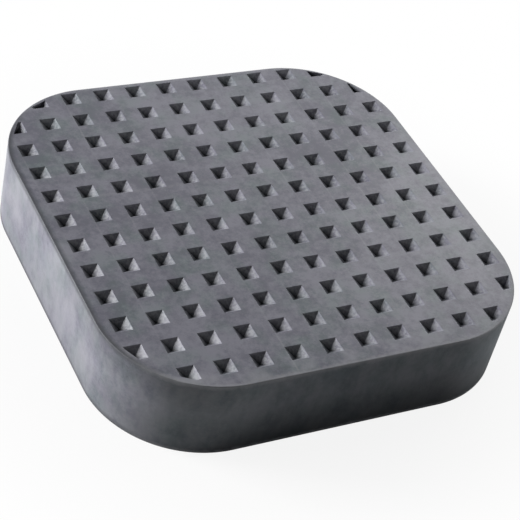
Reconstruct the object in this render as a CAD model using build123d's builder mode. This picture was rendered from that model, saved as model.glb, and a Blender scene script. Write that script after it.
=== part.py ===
from build123d import *
import os

# A square jacking pad, moulded in one piece of solid rubber. The underside is plain and flat.
# The top face carries a square grid of small pyramid pits, which grip whatever the pad lifts.
# The origin is the centre of the underside. +Z points up, and the rows of pits run along X and Y.
# All lengths are in millimetres.

# Block
SIDE = 120.0                # length of each side of the square
THICKNESS = 24.0            # underside to top face
CORNER_RADIUS = 29.5        # the four upright corners, seen from above
EDGE_RADIUS = 0.25          # slight rounding where the walls meet the top and the underside

# Pits
PITS_PER_ROW = 12           # the four corner places of the grid stay empty
PIT_PITCH = 9.9             # from one pit to the next, along a row and from row to row
PIT_MOUTH = 4.9             # side of a pit's square opening
PIT_DEPTH = 1.9             # top face to the blunt bottom of a pit
PIT_FLOOR = 0.3             # side of that square bottom, left by the mould's blunted pins
GRID_SHIFT = (0.4, 1.65)    # the grid sits slightly off the centre of the block, to the back right

# Trim line, a rounded square beyond which the mould has no pins
TRIM_INSET = 0.9            # how far it lies inside the outline of the block
TRIM_SHIFT = (0.25, 0.65)   # its own centre, between that of the block and that of the grid

# Worked out from the sizes above
top_face = Plane.XY.offset(THICKNESS)
trim_side = SIDE - 2 * TRIM_INSET
trim_radius = CORNER_RADIUS - TRIM_INSET
last = PITS_PER_ROW - 1
pit_bottom = THICKNESS - PIT_DEPTH


def grid_places():
    """The centre of every pit: a full grid without its four corner places."""
    corners = [(0, 0), (0, last), (last, 0), (last, last)]
    middle = last / 2
    places = []
    for column in range(PITS_PER_ROW):
        for row in range(PITS_PER_ROW):
            if (column, row) in corners:
                continue
            x = GRID_SHIFT[0] + (column - middle) * PIT_PITCH
            y = GRID_SHIFT[1] + (row - middle) * PIT_PITCH
            places.append((x, y))
    return places


# One pin of the mould: a blunt square pyramid that stands on its tip. The same tapered profile
# is run along both rows of the grid, and the pin is what the two runs share.
with BuildPart() as pin:
    for plane, mode in ((Plane.XZ, Mode.ADD), (Plane.YZ, Mode.INTERSECT)):
        with BuildSketch(plane):
            with BuildLine():
                Polyline(
                    (-PIT_MOUTH / 2, THICKNESS),
                    (PIT_MOUTH / 2, THICKNESS),
                    (PIT_FLOOR / 2, pit_bottom),
                    (-PIT_FLOOR / 2, pit_bottom),
                    close=True,
                )
            make_face()
        extrude(amount=PIT_MOUTH, both=True, mode=mode)

# All the pins, trimmed to the rounded square. Only those beside the empty corners are cut by it,
# and a narrow rim of rubber is left between them and the wall of the pad.
with BuildPart() as pins:
    with Locations(*grid_places()):
        add(pin.part)
    with BuildSketch(top_face):
        with Locations(TRIM_SHIFT):
            RectangleRounded(trim_side, trim_side, trim_radius)
    extrude(amount=-PIT_DEPTH, mode=Mode.INTERSECT)

# The pad: a rounded block with upright walls, less the pins.
with BuildPart() as rubber_pad:
    with BuildSketch():
        RectangleRounded(SIDE, SIDE, CORNER_RADIUS)
    extrude(amount=THICKNESS)
    rims = rubber_pad.faces().filter_by(Axis.Z).edges()
    fillet(rims, radius=EDGE_RADIUS)
    add(pins.part, mode=Mode.SUBTRACT)

rubber_pad.part.label = "rubber_pad"

os.makedirs("parts", exist_ok=True)
export_step(rubber_pad.part, "parts/rubber_pad.step")
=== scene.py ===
import math
from types import SimpleNamespace

import bmesh
import bpy
from bpy.props import FloatProperty, FloatVectorProperty, IntProperty, PointerProperty
from mathutils import Matrix, Vector


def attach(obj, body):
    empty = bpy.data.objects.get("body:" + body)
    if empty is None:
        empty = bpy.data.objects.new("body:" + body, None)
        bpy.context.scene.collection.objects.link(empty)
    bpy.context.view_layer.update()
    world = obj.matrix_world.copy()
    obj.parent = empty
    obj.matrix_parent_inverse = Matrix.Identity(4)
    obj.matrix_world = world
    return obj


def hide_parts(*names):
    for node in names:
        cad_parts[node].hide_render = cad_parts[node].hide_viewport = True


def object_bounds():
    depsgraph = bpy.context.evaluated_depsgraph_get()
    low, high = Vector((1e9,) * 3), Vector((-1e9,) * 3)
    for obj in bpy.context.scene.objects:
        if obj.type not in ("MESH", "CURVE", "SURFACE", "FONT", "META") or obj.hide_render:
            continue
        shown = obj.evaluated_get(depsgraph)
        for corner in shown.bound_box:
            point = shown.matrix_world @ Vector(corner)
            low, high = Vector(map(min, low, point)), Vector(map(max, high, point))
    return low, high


bl_info = {
    "name": "Jack Rubber Pad",
    "version": (1, 0, 0),
    "blender": (4, 5, 0),
    "location": "3D View > Sidebar > Jack Pad",
    "description": "A square pad of moulded rubber with a grid of pyramid pits in its top face",
    "category": "Add Mesh",
}

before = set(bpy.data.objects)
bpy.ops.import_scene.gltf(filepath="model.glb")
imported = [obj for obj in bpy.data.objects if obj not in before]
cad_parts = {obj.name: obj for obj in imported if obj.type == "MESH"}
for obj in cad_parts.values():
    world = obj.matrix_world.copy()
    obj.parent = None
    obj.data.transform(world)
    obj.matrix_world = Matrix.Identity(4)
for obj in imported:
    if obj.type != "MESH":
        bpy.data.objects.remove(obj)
CAD_LOW, CAD_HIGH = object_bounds()

MM = 0.001
NODE = "rubber_pad"
WELD = 0.002 * MM  # Points nearer than this are one point
LEVEL = 0.001 * MM  # An edge whose ends differ in height by less than this is level
FLAT = 0.999  # A face whose normal's Z is above this lies flat
CREASE = math.radians(36)  # Sharp from here, so that the valleys between a pit's walls stay sharp
# Between these X the painted shade along the left rim also fades in
LEFT_WALL = (-47 * MM, -57 * MM)  # The left wall's own finish fades in between these X
WHITE = (1, 1, 1, 1)

# Distance and width of each form of lamp in metres
BIG_LAMP = (1.0, 0.38)
SMALL_LAMP = (0.32, 0.14)

# Each lamp's name, azimuth and elevation in degrees, and form. StageSetup holds its power.
LAMPS = (
    ("key", -122, 20, BIG_LAMP),
    ("low", -126, 5, BIG_LAMP),
    ("side", 83, 6, BIG_LAMP),
    ("right", 120, 32, SMALL_LAMP),
    ("back", 150, 32, SMALL_LAMP),
)
FLOOR_RADIUS = 4.0
FLOOR_GAP = 0.05 * MM  # Keeps the floor and the pad's underside apart
LEAST_GLOW = 0.88  # Share of plain white in the floor by the pad, where the shadow shows most
DIM_WORLD = 0.03  # Strength of the white surround as a light


def linear(hex_colour):
    """An sRGB hex colour as the linear red, green and blue that Blender works in."""
    channels = [int(hex_colour[start:start + 2], 16) / 255 for start in (1, 3, 5)]
    return [c / 12.92 if c <= 0.04045 else ((c + 0.055) / 1.055) ** 2.4 for c in channels]


def size(name, description, default):
    """A length in metres, shown in the sidebar in the scene's own unit."""
    return FloatProperty(
        name=name, description=description, default=default, min=0.0, precision=4, unit="LENGTH"
    )


def shift(name, description, default):
    """A move along X and Y in metres."""
    return FloatVectorProperty(
        name=name, description=description, default=default, size=2, precision=4, unit="LENGTH"
    )


def colour(name, description, default):
    """A colour, given as an sRGB hex value."""
    return FloatVectorProperty(
        name=name, description=description, default=linear(default), subtype="COLOR"
    )


def power(name, description, default):
    """A lamp's power in watts."""
    return FloatProperty(
        name=name, description=description, default=default, min=0.0, precision=3, unit="POWER"
    )


def angle(name, description, degrees):
    """An angle, given in degrees."""
    return FloatProperty(
        name=name, description=description, default=math.radians(degrees), unit="ROTATION"
    )


# What a user would change


class PadSizes(bpy.types.PropertyGroup):
    """Sizes of the pad. The outer ones come from the frame."""

    side: size("Side", "Each side of the square, seen from above", CAD_HIGH.x - CAD_LOW.x)
    thickness: size("Thickness", "From the underside to the top face", CAD_HIGH.z - CAD_LOW.z)
    corner_radius: size("Corner radius", "The four upright corners", 29.5 * MM)
    corner_steps: IntProperty(
        name="Corner steps", description="Facets round each upright corner", default=40, min=4
    )
    edge_radius: size("Edge radius", "Where the walls meet the flat faces", 0.25 * MM)
    edge_steps: IntProperty(
        name="Edge steps", description="Facets of that rounding", default=3, min=1
    )
    pits_per_row: IntProperty(
        name="Pits per row", description="The four corner places stay empty", default=12, min=3
    )
    pit_pitch: size("Pit pitch", "From one pit to the next", 9.9 * MM)
    pit_mouth: size("Pit mouth", "Side of a pit's square opening", 4.9 * MM)
    pit_depth: size("Pit depth", "From the top face to the blunt bottom", 1.9 * MM)
    pit_floor: size("Pit floor", "Side of the small square bottom", 0.3 * MM)
    lip_radius: size("Lip radius", "Rounding of the rubber round each pit", 0.22 * MM)
    lip_steps: IntProperty(
        name="Lip steps", description="Facets of the lip", default=3, min=1
    )
    grid_shift: shift("Grid shift", "From the block's centre to the grid's", (0.4 * MM, 1.65 * MM))
    trim_inset: size("Trim inset", "How far inside the walls the pits end", 0.9 * MM)
    rim_left: size("Rim left", "Least rubber between a trimmed pit and the rounded edge", 0.1 * MM)
    trim_shift: shift("Trim shift", "Centre of the line where pits end", (0.25 * MM, 0.65 * MM))


class RubberFinish(bpy.types.PropertyGroup):
    """Colours of the moulded rubber and of its painted shade, and the widths of the patterns on
    it.
    """

    body: colour("Body", "The rubber itself", "#515459")
    bloom: colour("Bloom", "Pale haze left on the skin by the moulding", "#6f7177")
    cool: colour("Cool patches", "Where the skin looks greenish", "#586568")
    warm: colour("Warm patches", "Where the skin looks mauve", "#676374")
    smear: colour("Smears", "Pale streaks on the walls", "#828287")
    worn: colour("Worn rubber", "Rubbed rims and raised marks", "#86878b")
    # Colour of the painted shade: in the pits, at the foot of the walls, round the front left
    # corner and along the left rim
    painted_shade: colour("Painted shade", "Painted shade in the pits, at the foot of the walls and by the left rim", "#13171a")
    mottle_size: size("Mottle size", "Widest clouds of the haze", 28 * MM)
    patch_size: size("Patch size", "Cool and warm patches, and gaps in the mould lines", 9 * MM)
    streak_size: size("Streak size", "Smears on the walls", 10 * MM)
    scuff_size: size("Scuff size", "Scuffs beside the rims", 7 * MM)
    rag_size: size("Rag size", "Bites out of the worn rims", 2.5 * MM)
    speck_size: size("Speck size", "Pale specks in the pits", 0.8 * MM)
    grain_size: size("Grain size", "Grain of the mould's surface", 0.7 * MM)


class StageSetup(bpy.types.PropertyGroup):
    """Floor, lamps and camera."""

    floor: colour("Floor", "Pale card under the pad", "#e6e6e6")
    shadow_start: size("Shadow start", "The shadow shows fully up to here", 65 * MM)
    shadow_end: size("Shadow end", "The floor is plain white from here", 120 * MM)
    key_power: power("Key lamp", "Big lamp behind the pad on the left", 14.5)
    low_power: power("Low lamp", "Below the key lamp, level with the left wall", 14.0)
    side_power: power("Side lamp", "Low on the right, for the front right corner", 6.2)
    right_power: power("Right lamp", "Small, near, behind the pad on the right", 0.285)
    back_power: power("Back lamp", "Small, near, straight behind the pad", 0.08)
    azimuth: angle("Azimuth", "Camera's turn round the pad, from straight in front", -34.73)
    elevation: angle("Elevation", "Camera's height above the horizon", 40.31)
    roll: angle("Roll", "Tilt of the view", 14.64)
    distance: size("Distance", "From the camera to the point it looks at", 454.23 * MM)
    aim: FloatVectorProperty(
        name="Aim", description="The point that the camera looks at",
        default=(-0.97 * MM, -7.58 * MM, 12.0 * MM), size=3, precision=4, unit="LENGTH",
    )
    lens: FloatProperty(
        name="Lens", description="Focal length in millimetres on a 36 mm sensor", default=114.81
    )


# Mesh


def rounded_block(bm, sizes):
    """A square block with rounded upright corners and a fine rounding along its rims."""
    bmesh.ops.create_grid(bm, x_segments=1, y_segments=1, size=sizes.side / 2)
    bmesh.ops.bevel(
        bm,
        geom=bm.verts[:],
        offset=sizes.corner_radius,
        offset_type="OFFSET",
        segments=sizes.corner_steps,
        profile=0.5,
        affect="VERTICES",
        material=-1,
    )
    raised = bmesh.ops.extrude_face_region(bm, geom=bm.faces[:])["geom"]
    corners = [part for part in raised if isinstance(part, bmesh.types.BMVert)]
    bmesh.ops.translate(bm, verts=corners, vec=(0, 0, sizes.thickness))
    bmesh.ops.recalc_face_normals(bm, faces=bm.faces[:])
    rims = [
        edge for edge in bm.edges if abs(edge.verts[0].co.z - edge.verts[1].co.z) < LEVEL
    ]
    bmesh.ops.bevel(
        bm,
        geom=rims,
        offset=sizes.edge_radius,
        offset_type="OFFSET",
        segments=sizes.edge_steps,
        profile=0.5,
        affect="EDGES",
        material=-1,
    )


def grid_lines(sizes, along):
    """Middle of each column of pits (along 0) or of each row (along 1)."""
    middle = (sizes.pits_per_row - 1) / 2
    return [
        sizes.grid_shift[along] + (place - middle) * sizes.pit_pitch
        for place in range(sizes.pits_per_row)
    ]


def pit_places(sizes):
    """Centre of every pit: a full grid without its four corner places."""
    columns = grid_lines(sizes, 0)
    rows = grid_lines(sizes, 1)
    ends = (0, sizes.pits_per_row - 1)
    return [
        Vector((x, y, sizes.thickness))
        for column, x in enumerate(columns)
        for row, y in enumerate(rows)
        if not (column in ends and row in ends)
    ]


def wall_slope(sizes):
    """Angle of a pit's walls from the level."""
    return math.atan2(sizes.pit_depth, (sizes.pit_mouth - sizes.pit_floor) / 2)


def lip_reach(sizes):
    """How far outside the pit's mouth its rounded lip begins."""
    return sizes.lip_radius * math.tan(wall_slope(sizes) / 2)


def half_opening(sizes):
    """Half the width of a pit with its lip."""
    return sizes.pit_mouth / 2 + lip_reach(sizes)


def flat_top(bm, sizes):
    """Faces of the flat top."""
    return [
        face for face in bm.faces
        if face.normal.z > FLAT and face.calc_center_median().z > sizes.thickness - WELD
    ]


def cut_top(bm, sizes):
    """Cuts the flat top along both sides of every column and row of pits."""
    half = half_opening(sizes)
    for along, normal in ((0, (1, 0, 0)), (1, (0, 1, 0))):
        for middle in grid_lines(sizes, along):
            for edge in (middle - half, middle + half):
                at = Vector(normal) * edge
                bmesh.ops.bisect_plane(
                    bm, geom=whole(flat_top(bm, sizes)), dist=WELD, plane_co=at, plane_no=normal
                )


def trim_cut(place, sizes):
    """Where a pit by an empty corner place ends: a point and a direction outward, else None."""
    half = half_opening(sizes)
    radius = sizes.corner_radius - sizes.trim_inset - sizes.rim_left
    run = sizes.side / 2 - sizes.corner_radius
    side_x = math.copysign(1, place.x - sizes.grid_shift[0])
    side_y = math.copysign(1, place.y - sizes.grid_shift[1])
    centre = Vector((sizes.trim_shift[0] + side_x * run, sizes.trim_shift[1] + side_y * run, 0))
    out_x = side_x * (place.x - centre.x) + half
    out_y = side_y * (place.y - centre.y) + half
    if min(out_x, out_y) <= 0 or math.hypot(out_x, out_y) <= radius:
        return None
    # The arc of the trim line crosses the two outer sides of the mouth at these two points
    first = Vector((side_x * out_x, side_y * math.sqrt(radius**2 - out_x**2), 0))
    second = Vector((side_x * math.sqrt(radius**2 - out_y**2), side_y * out_y, 0))
    outward = (second - first).cross(Vector((0, 0, 1)))
    if outward.dot(first) < 0:
        outward.negate()
    return centre + first, outward.normalized()


def whole(faces):
    """Faces with their own edges and corners, each once and always in the same order."""
    edges = dict.fromkeys(edge for face in faces for edge in face.edges)
    corners = dict.fromkeys(corner for face in faces for corner in face.verts)
    return [*faces, *edges, *corners]


def open_mouths(bm, sizes):
    """Takes the flat top away over every pit, up to the trim line."""
    half = half_opening(sizes)
    for place in pit_places(sizes):
        lids = [
            face for face in flat_top(bm, sizes)
            if abs(face.calc_center_median().x - place.x) < half
            and abs(face.calc_center_median().y - place.y) < half
        ]
        trim = trim_cut(place, sizes)
        if trim:
            at, outward = trim
            cut = bmesh.ops.bisect_plane(
                bm, geom=whole(lids), dist=WELD, plane_co=at, plane_no=outward
            )
            halves = [part for part in cut["geom"] if isinstance(part, bmesh.types.BMFace)]
            lids = [face for face in halves if (face.calc_center_median() - at).dot(outward) < 0]
        bmesh.ops.delete(bm, geom=lids, context="FACES")


def pit_profile(sizes):
    """Steps across and down from the start of the lip: its arc, then the straight wall."""
    slope = wall_slope(sizes)
    steps = []
    for step in range(1, sizes.lip_steps + 1):
        turn = slope * step / sizes.lip_steps
        steps.append((sizes.lip_radius * math.sin(turn), sizes.lip_radius * (1 - math.cos(turn))))
    steps.append((half_opening(sizes) - sizes.pit_floor / 2, sizes.pit_depth))
    return steps


def add_pit(bm, place, sizes):
    """One pit: a square sheet, sunk along the profile, and closed where the trim line cuts it."""
    sheet = bmesh.ops.create_grid(
        bm, x_segments=1, y_segments=1, size=half_opening(sizes), matrix=Matrix.Translation(place)
    )
    floor = list(sheet["verts"][0].link_faces)
    faces = list(floor)
    across = 0.0
    down = 0.0
    for next_across, next_down in pit_profile(sizes):
        ring = bmesh.ops.inset_individual(
            bm,
            faces=floor,
            thickness=next_across - across,
            depth=down - next_down,
            use_even_offset=True,
        )
        faces += ring["faces"]
        across, down = next_across, next_down
    trim = trim_cut(place, sizes)
    if trim:
        at, outward = trim
        cut = bmesh.ops.bisect_plane(
            bm, geom=whole(faces), dist=WELD, plane_co=at, plane_no=outward, clear_outer=True
        )
        rim = [part for part in cut["geom_cut"] if isinstance(part, bmesh.types.BMEdge)]
        ends = [
            part for part in cut["geom_cut"]
            if isinstance(part, bmesh.types.BMVert) and part.co.z > sizes.thickness - WELD
        ]
        top_edge = bmesh.ops.contextual_create(bm, geom=ends)["edges"]
        bmesh.ops.contextual_create(bm, geom=rim + top_edge)


def make_pad_mesh(sizes):
    """The whole pad: the block, its opened top and every pit, with sharp creases."""
    bm = bmesh.new()
    rounded_block(bm, sizes)
    cut_top(bm, sizes)
    open_mouths(bm, sizes)
    for place in pit_places(sizes):
        add_pit(bm, place, sizes)
    bmesh.ops.remove_doubles(bm, verts=bm.verts[:], dist=WELD)
    bmesh.ops.recalc_face_normals(bm, faces=bm.faces[:])
    for face in bm.faces:
        face.smooth = True
    for edge in bm.edges:
        edge.smooth = edge.calc_face_angle(0) < CREASE
    mesh = bpy.data.meshes.new("moulded_pad")
    bm.to_mesh(mesh)
    bm.free()
    return mesh


# Materials


def add_node(tree, kind, inputs=None, **settings):
    """Adds a node with its settings. An input is a value, a node, or one output of a node. Its key
    is the name of a socket in use, or the socket's number where several share a name."""
    node = tree.nodes.new("ShaderNode" + kind)
    for name, value in settings.items():
        setattr(node, name, value)
    for key, value in (inputs or {}).items():
        if isinstance(key, str):
            key = next(
                number for number, socket in enumerate(node.inputs)
                if socket.name == key and socket.enabled
            )
        if isinstance(value, bpy.types.Node):
            value = next(socket for socket in value.outputs if socket.enabled)
        if isinstance(value, bpy.types.NodeSocket):
            tree.links.new(value, node.inputs[key])
        else:
            node.inputs[key].default_value = value
    return node


def empty_tree(owner):
    """The owner's node tree, cleared."""
    owner.use_nodes = True
    owner.node_tree.nodes.clear()
    return owner.node_tree


def from_walls(tree, place, sizes):
    """How far a point of the pad lies inside its upright walls."""
    core = sizes.side / 2 - sizes.corner_radius
    beyond = add_node(tree, "VectorMath", {0: place}, operation="ABSOLUTE")
    # No height reaches the block's side, so the height drops out here
    for operation, limit in (("SUBTRACT", (core, core, sizes.side)), ("MAXIMUM", (0, 0, 0))):
        beyond = add_node(tree, "VectorMath", {0: beyond, 1: limit}, operation=operation)
    out = add_node(tree, "VectorMath", {0: beyond}, operation="LENGTH")
    return add_node(tree, "Math", {0: sizes.corner_radius, 1: out}, operation="SUBTRACT")


def survey(tree, sizes):
    """Where a point of the skin lies: its place and distances in metres, and masks up to 1."""
    place = add_node(tree, "TexCoord").outputs["Object"]
    x, y, z = add_node(tree, "SeparateXYZ", {"Vector": place}).outputs
    inside = from_walls(tree, place, sizes)
    depth = add_node(tree, "Math", {0: sizes.thickness, 1: z}, operation="SUBTRACT")
    from_face = add_node(tree, "Math", {0: depth, 1: z}, operation="MINIMUM")
    across = add_node(tree, "CombineXYZ", {"X": inside, "Y": from_face})
    # The rounding of the rims lies between the wall and the flat face
    off_wall = add_node(
        tree, "MapRange", {"Value": inside, "From Min": 0.05 * MM, "From Max": 0.35 * MM}
    )
    # All of a pit is less deep than this, and the underside is far deeper
    near_top = add_node(
        tree, "MapRange",
        {
            "Value": depth, "From Min": sizes.pit_depth + 1 * MM,
            "From Max": sizes.pit_depth + 0.5 * MM, "To Max": off_wall,
        },
    )
    return SimpleNamespace(
        place=place,
        x=x,
        y=y,
        z=z,
        depth=depth,
        from_rim=add_node(tree, "VectorMath", {0: across}, operation="LENGTH"),
        wall=add_node(tree, "Math", {0: 1.0, 1: off_wall}, operation="SUBTRACT"),
        off_wall=off_wall,
        pit_wall=add_node(
            tree, "MapRange",
            {"Value": depth, "From Min": 0.1 * MM, "From Max": 0.3 * MM, "To Max": near_top},
        ),
    )


def lay_over(tree, skin, tone, *masks):
    """Lays a tone over the skin, as strongly as all of its masks together let it."""
    share = masks[0]
    for mask in masks[1:]:
        share = add_node(tree, "Math", {0: share, 1: mask}, operation="MULTIPLY")
    return add_node(
        tree, "Mix", {"Factor": share, "A": skin, "B": (*tone, 1)}, data_type="RGBA"
    )


def cloudy_skin(tree, at, finish, mottle):
    """Pale haze on the body colour, with patches of green and mauve. The walls lean to the green,
    except the left one."""
    haze = add_node(tree, "MapRange", {"Value": mottle, "From Min": 0.42, "From Max": 0.58})
    body = add_node(
        tree, "Mix",
        {"Factor": haze, "A": (*finish.body, 1), "B": (*finish.bloom, 1)}, data_type="RGBA",
    )
    patches = add_node(
        tree, "TexNoise",
        {"Vector": at.place, "Scale": 1 / finish.patch_size, "Detail": 2.0, "Roughness": 0.7},
    )
    mauve = add_node(tree, "MapRange", {"Value": patches, "From Min": 0.3, "From Max": 0.55})
    away_from_left = add_node(
        tree, "MapRange",
        {"Value": at.x, "From Min": LEFT_WALL[1], "From Max": LEFT_WALL[0], "To Max": 0.8},
    )
    green = add_node(tree, "Math", {0: at.wall, 1: away_from_left}, operation="MULTIPLY")
    tint = add_node(
        tree, "Mix",
        {"Factor": mauve, "A": (*finish.cool, 1), "B": (*finish.warm, 1)}, data_type="RGBA",
    )
    tint = lay_over(tree, tint, finish.cool, green)
    strength = add_node(
        tree, "MapRange", {"Value": green, "From Max": 0.8, "To Min": 0.4, "To Max": 0.65}
    )
    return add_node(
        tree, "Mix", {"Factor": strength, "A": body, "B": tint}, data_type="RGBA"
    )


def streaked_walls(tree, at, finish):
    """Pale streaks, drawn out down the walls."""
    drawn_down = add_node(
        tree, "VectorMath", {0: at.place, 1: (1.0, 1.0, 0.5)}, operation="MULTIPLY"
    )
    streaks = add_node(
        tree, "TexNoise",
        {"Vector": drawn_down, "Scale": 1 / finish.streak_size, "Detail": 3.0, "Roughness": 0.7},
    )
    return add_node(
        tree, "MapRange", {"Value": streaks, "From Min": 0.4, "From Max": 0.6, "To Max": 0.5}
    )


def mould_lines(tree, at, finish, sizes, along, width):
    """Faint pale lines, like a cutter's marks in the mould, along one side of each row of pits."""
    pitch = sizes.pit_pitch
    first = grid_lines(sizes, along)[0] - sizes.pit_mouth / 2
    rows = add_node(
        tree, "MapRange",
        {"Value": (at.x, at.y)[along], "From Min": first, "From Max": first + pitch}, clamp=False,
    )
    away = add_node(tree, "Math", {0: rows, 1: 0.5}, operation="PINGPONG")
    # Each line comes and goes in patches, drawn out along it
    drawn_out = add_node(
        tree, "VectorMath",
        {0: at.place, 1: ((1.0, 0.12, 1.0), (0.12, 1.0, 1.0))[along]}, operation="MULTIPLY",
    )
    patches = add_node(
        tree, "TexNoise", {"Vector": drawn_out, "Scale": 1 / finish.patch_size, "Detail": 3.0}
    )
    strength = add_node(tree, "MapRange", {"Value": patches, "From Min": 0.5, "From Max": 0.75})
    return add_node(
        tree, "MapRange",
        {
            "Value": away, "From Min": width / pitch, "From Max": width / 2 / pitch,
            "To Max": strength,
        },
    )


def painted_pit_shade(tree, at, sizes):
    """Painted shade in the pits: at their bottoms, and higher up on their left sides."""
    pitch = sizes.pit_pitch
    first = grid_lines(sizes, 0)[0] - pitch / 2
    columns = add_node(
        tree, "MapRange",
        {"Value": at.x, "From Min": first, "From Max": first + pitch}, clamp=False,
    )
    # Goes from 0 to 1 across each column, with the pit's middle at 0.5
    across = add_node(tree, "Math", {0: columns}, operation="FRACT")
    reach = 0.45 * pitch / 2
    lean = add_node(tree, "MapRange", {"Value": across, "To Min": reach, "To Max": -reach})
    depth = add_node(tree, "Math", {0: at.depth, 1: lean}, operation="ADD")
    return add_node(
        tree, "MapRange",
        {"Value": depth, "From Min": 0.5 * MM, "From Max": 2 * MM, "To Max": at.pit_wall},
    )


def worn_rim(tree, at, finish):
    """A ragged pale rim, and soft scuffs beside it on the flat faces, most of all in front."""
    rubbed = add_node(
        tree, "MapRange",
        {"Value": at.y, "From Min": -20 * MM, "From Max": -55 * MM, "To Min": 0.4, "To Max": 1.0},
    )
    rags = add_node(
        tree, "TexNoise",
        {"Vector": at.place, "Scale": 1 / finish.rag_size, "Detail": 3.0, "Roughness": 0.7},
    )
    ragged = add_node(
        tree, "Math", {0: rags, 1: 2 * MM, 2: at.from_rim}, operation="MULTIPLY_ADD"
    )
    rim = add_node(
        tree, "MapRange",
        {"Value": ragged, "From Min": 2.4 * MM, "From Max": 0.9 * MM, "To Max": rubbed},
    )
    near_rim = add_node(
        tree, "MapRange",
        {"Value": at.from_rim, "From Min": 6 * MM, "From Max": 1 * MM, "To Max": rubbed},
    )
    clouds = add_node(
        tree, "TexNoise", {"Vector": at.place, "Scale": 1 / finish.scuff_size, "Detail": 2.0}
    )
    scuffs = add_node(
        tree, "MapRange", {"Value": clouds, "From Min": 0.48, "From Max": 0.7, "To Max": 0.7}
    )
    for mask in (near_rim, at.off_wall):
        scuffs = add_node(tree, "Math", {0: scuffs, 1: mask}, operation="MULTIPLY")
    return add_node(tree, "Math", {0: rim, 1: scuffs}, operation="MAXIMUM")


def moulded_rubber(finish, sizes):
    """Hard black rubber, pressed hot in a steel mould, which gives it a cloudy satin skin. It is
    streaked on the walls and worn pale along the rims. Dark shade is painted into the pits, at the
    foot of the walls, round the front left corner and along the left rim."""
    material = bpy.data.materials.new("moulded_rubber")
    tree = empty_tree(material)
    at = survey(tree, sizes)
    # Mottling of every size, down to the finest that shows
    mottle = add_node(
        tree, "TexNoise",
        {"Vector": at.place, "Scale": 1 / finish.mottle_size, "Detail": 6.0, "Roughness": 0.95},
    )
    lines = add_node(
        tree, "Math",
        {
            0: mould_lines(tree, at, finish, sizes, 0, 0.3 * MM),
            1: mould_lines(tree, at, finish, sizes, 1, 0.9 * MM),
        },
        operation="MAXIMUM",
    )
    on_flat = add_node(
        tree, "MapRange",
        {"Value": at.depth, "From Min": 0.2 * MM, "From Max": 0.1 * MM, "To Max": 0.3},
    )

    # Painted shade: a darker upper wall round the front left corner
    upper_wall_shade = add_node(
        tree, "MapRange",
        {"Value": at.depth, "From Min": 10 * MM, "From Max": 2 * MM, "To Max": 0.35},
    )
    left_end = add_node(
        tree, "MapRange", {"Value": at.x, "From Min": -30 * MM, "From Max": -45 * MM}
    )
    front_end = add_node(
        tree, "MapRange", {"Value": at.y, "From Min": -10 * MM, "From Max": -40 * MM}
    )

    # Painted shade: a dark foot of the walls, less so on the left
    foot = add_node(
        tree, "MapRange", {"Value": at.z, "From Min": 14 * MM, "From Max": 0.0, "To Max": 0.8}
    )
    less_on_left = add_node(
        tree, "MapRange",
        {"Value": at.x, "From Min": -30 * MM, "From Max": -50 * MM, "To Min": 1.0, "To Max": 0.25},
    )

    # Pale specks on the rest of the pits' walls
    # Painted shade in the pits; the pale specks lie outside it
    painted_shade = painted_pit_shade(tree, at, sizes)
    outside_pit_shade = add_node(tree, "Math", {0: 1.0, 1: painted_shade}, operation="SUBTRACT")
    spots = add_node(
        tree, "TexNoise", {"Vector": at.place, "Scale": 1 / finish.speck_size, "Detail": 1.0}
    )
    specks = add_node(
        tree, "MapRange", {"Value": spots, "From Min": 0.38, "From Max": 0.62, "To Max": 0.6}
    )

    # Painted shade along the rim on the left, where the rim is also dulled
    worn = worn_rim(tree, at, finish)
    left = add_node(
        tree, "MapRange",
        {"Value": at.x, "From Min": LEFT_WALL[0], "From Max": LEFT_WALL[1], "To Max": 0.6},
    )
    shaded = add_node(
        tree, "MapRange",
        {"Value": at.from_rim, "From Min": 1.8 * MM, "From Max": 0.5 * MM, "To Max": left},
    )

    skin = cloudy_skin(tree, at, finish, mottle)
    for tone, *masks in (
        (finish.smear, streaked_walls(tree, at, finish), at.wall),
        (finish.worn, lines, on_flat),
        # Layers in the dark colour are painted shade: upper wall, foot of the walls, pits and left
        # rim
        (finish.painted_shade, upper_wall_shade, left_end, front_end, at.wall),
        (finish.painted_shade, foot, less_on_left, at.wall),
        (finish.painted_shade, painted_shade),
        (finish.worn, specks, outside_pit_shade, at.pit_wall),
        (finish.worn, worn),
        (finish.painted_shade, shaded),
    ):
        skin = lay_over(tree, skin, tone, *masks)

    smooth = add_node(
        tree, "MapRange",
        {"Value": mottle, "From Min": 0.3, "From Max": 0.7, "To Min": 0.31, "To Max": 0.39},
    )
    roughness = add_node(
        tree, "Math", {0: worn, 1: 0.35, 2: smooth}, operation="MULTIPLY_ADD"
    )
    shine = add_node(
        tree, "MapRange",
        {"Value": mottle, "From Min": 0.35, "From Max": 0.65, "To Min": 0.22, "To Max": 0.4},
    )
    # Less shine where shade is painted
    dull = add_node(tree, "Math", {0: painted_shade, 1: shaded}, operation="MAXIMUM")
    for mask, kept in ((dull, 0.1), (at.pit_wall, 0.7)):
        share = add_node(tree, "MapRange", {"Value": mask, "To Min": 1.0, "To Max": kept})
        shine = add_node(tree, "Math", {0: shine, 1: share}, operation="MULTIPLY")

    # The mould's own grain is nearer to 0.2 mm. It is drawn coarser, so that it shows.
    grit = add_node(
        tree, "TexNoise",
        {"Vector": at.place, "Scale": 1 / finish.grain_size, "Detail": 2.0, "Roughness": 0.6},
    )
    grain = add_node(tree, "Bump", {"Height": grit, "Strength": 0.5, "Distance": 0.05 * MM})
    surface = add_node(
        tree, "BsdfPrincipled",
        {
            "Base Color": skin, "Roughness": roughness, "IOR": 1.5,
            "Specular IOR Level": shine, "Normal": grain,
        },
    )
    add_node(tree, "OutputMaterial", {"Surface": surface})
    return material


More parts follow.
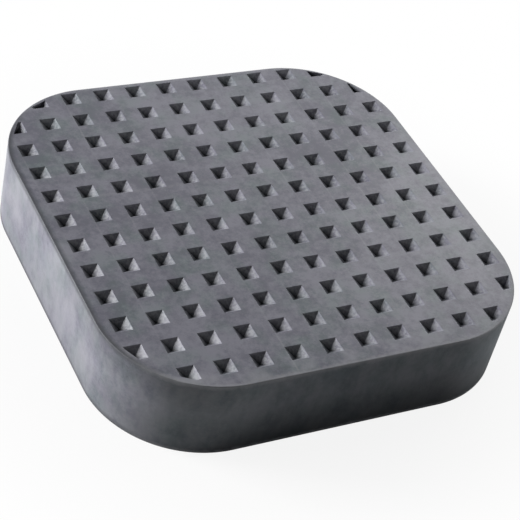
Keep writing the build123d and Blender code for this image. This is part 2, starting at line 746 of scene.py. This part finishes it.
def pale_card(setup):
    """Matt pale card for the floor. The camera sees it white, with the pad's soft shadow."""
    material = bpy.data.materials.new("pale_card")
    tree = empty_tree(material)
    seen = add_node(tree, "LightPath").outputs["Is Camera Ray"]
    matt = add_node(tree, "BsdfDiffuse", {"Color": (*setup.floor, 1)})
    white = add_node(tree, "Emission", {"Color": WHITE, "Strength": 1.0})
    place = add_node(tree, "TexCoord").outputs["Object"]
    away = add_node(tree, "VectorMath", {0: place}, operation="LENGTH")
    # The glow is weaker near the pad, so that the shadow shows there
    glow = add_node(
        tree, "MapRange",
        {
            "Value": away, "From Min": setup.shadow_start, "From Max": setup.shadow_end,
            "To Min": LEAST_GLOW, "To Max": 1.0,
        },
    )
    share = add_node(tree, "Math", {0: glow, 1: seen}, operation="MULTIPLY")
    surface = add_node(tree, "MixShader", {0: share, 1: matt, 2: white})
    add_node(tree, "OutputMaterial", {"Surface": surface})
    return material


# Stage


def white_surround():
    """A world that is white where it is seen or mirrored, and dim as a lamp."""
    world = bpy.data.worlds.new("white_surround")
    tree = empty_tree(world)
    rays = add_node(tree, "LightPath").outputs
    seen = rays["Is Camera Ray"]
    for kind in ("Is Glossy Ray", "Is Transmission Ray"):
        seen = add_node(tree, "Math", {0: seen, 1: rays[kind]}, operation="MAXIMUM")
    strength = add_node(tree, "MapRange", {"Value": seen, "To Min": DIM_WORLD, "To Max": 1.0})
    backdrop = add_node(tree, "Background", {"Color": WHITE, "Strength": strength})
    add_node(tree, "OutputWorld", {"Surface": backdrop})
    bpy.context.scene.world = world


def direction(azimuth, elevation):
    """Unit vector from the pad towards a lamp or camera. Azimuth 0 is straight in front."""
    flat = math.cos(elevation)
    return Vector((math.sin(azimuth) * flat, -math.cos(azimuth) * flat, math.sin(elevation)))


def add_lamp(name, azimuth, elevation, distance, width, watts):
    """A square soft lamp that faces the pad. The camera doesn't see it."""
    lamp = bpy.data.lights.new(name, "AREA")
    lamp.shape = "SQUARE"
    lamp.size = width
    lamp.energy = watts
    towards = direction(math.radians(azimuth), math.radians(elevation))
    holder = bpy.data.objects.new(name, lamp)
    holder.location = towards * distance
    holder.rotation_euler = towards.to_track_quat("Z", "Y").to_euler()
    holder.visible_camera = False
    bpy.context.scene.collection.objects.link(holder)


def add_camera(setup):
    """The camera, turned about its own axis by the roll."""
    camera = bpy.data.cameras.new("camera")
    camera.sensor_width = 36  # Millimetres
    camera.lens = setup.lens
    camera.clip_start = 0.01
    back = direction(setup.azimuth, setup.elevation)
    place = Vector(setup.aim) + back * setup.distance
    level = back.to_track_quat("Z", "Y").to_matrix()
    holder = bpy.data.objects.new("camera", camera)
    holder.matrix_world = Matrix.LocRotScale(
        place, level @ Matrix.Rotation(setup.roll, 3, "Z"), None
    )
    bpy.context.scene.collection.objects.link(holder)
    bpy.context.scene.camera = holder


def add_floor(setup):
    """A wide round card under the pad."""
    bm = bmesh.new()
    bmesh.ops.create_circle(bm, cap_ends=True, radius=FLOOR_RADIUS, segments=64)
    mesh = bpy.data.meshes.new("floor")
    bm.to_mesh(mesh)
    bm.free()
    mesh.materials.append(pale_card(setup))
    floor = bpy.data.objects.new("floor", mesh)
    floor.location.z = -FLOOR_GAP
    bpy.context.scene.collection.objects.link(floor)


# Operators


class JACKPAD_OT_rubber_pad(bpy.types.Operator):
    """Build the moulded rubber pad"""

    bl_idname = "jackpad.rubber_pad"
    bl_label = "Rubber Pad"

    def execute(self, context):
        sizes = context.scene.jackpad_sizes
        mesh = make_pad_mesh(sizes)
        mesh.materials.append(moulded_rubber(context.scene.jackpad_finish, sizes))
        pad = bpy.data.objects.new("moulded_pad", mesh)
        context.scene.collection.objects.link(pad)
        # Large faces set the shading, so the flats look flat beside their rounded rims
        crisp = pad.modifiers.new("crisp_faces", "WEIGHTED_NORMAL")
        crisp.weight = 100
        crisp.keep_sharp = True
        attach(pad, "root")
        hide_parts(NODE)
        return {"FINISHED"}


class JACKPAD_OT_stage(bpy.types.Operator):
    """Set up the floor, the lamps, the white surround and the camera"""

    bl_idname = "jackpad.stage"
    bl_label = "Stage"

    def execute(self, context):
        setup = context.scene.jackpad_stage
        context.scene.view_settings.view_transform = "Standard"
        add_floor(setup)
        white_surround()
        for name, azimuth, elevation, form in LAMPS:
            watts = getattr(setup, name + "_power")
            add_lamp(name + "_lamp", azimuth, elevation, *form, watts)
        add_camera(setup)
        return {"FINISHED"}


class JACKPAD_PT_panel(bpy.types.Panel):
    """Buttons for each step, with the sizes and colours that they read"""

    bl_idname = "JACKPAD_PT_panel"
    bl_label = "Jack Pad"
    bl_space_type = "VIEW_3D"
    bl_region_type = "UI"
    bl_category = "Jack Pad"

    def draw(self, context):
        for operator, settings in (
            (JACKPAD_OT_rubber_pad, (context.scene.jackpad_sizes, context.scene.jackpad_finish)),
            (JACKPAD_OT_stage, (context.scene.jackpad_stage,)),
        ):
            box = self.layout.box()
            box.operator(operator.bl_idname)
            for group in settings:
                for name in type(group).__annotations__:
                    box.prop(group, name)


CLASSES = (
    PadSizes,
    RubberFinish,
    StageSetup,
    JACKPAD_OT_rubber_pad,
    JACKPAD_OT_stage,
    JACKPAD_PT_panel,
)


def register():
    for each in CLASSES:
        bpy.utils.register_class(each)
    bpy.types.Scene.jackpad_sizes = PointerProperty(type=PadSizes)
    bpy.types.Scene.jackpad_finish = PointerProperty(type=RubberFinish)
    bpy.types.Scene.jackpad_stage = PointerProperty(type=StageSetup)


def unregister():
    del bpy.types.Scene.jackpad_stage
    del bpy.types.Scene.jackpad_finish
    del bpy.types.Scene.jackpad_sizes
    for each in reversed(CLASSES):
        bpy.utils.unregister_class(each)


def main():
    register()
    bpy.ops.jackpad.rubber_pad()
    bpy.ops.jackpad.stage()


if __name__ == "__main__":
    main()
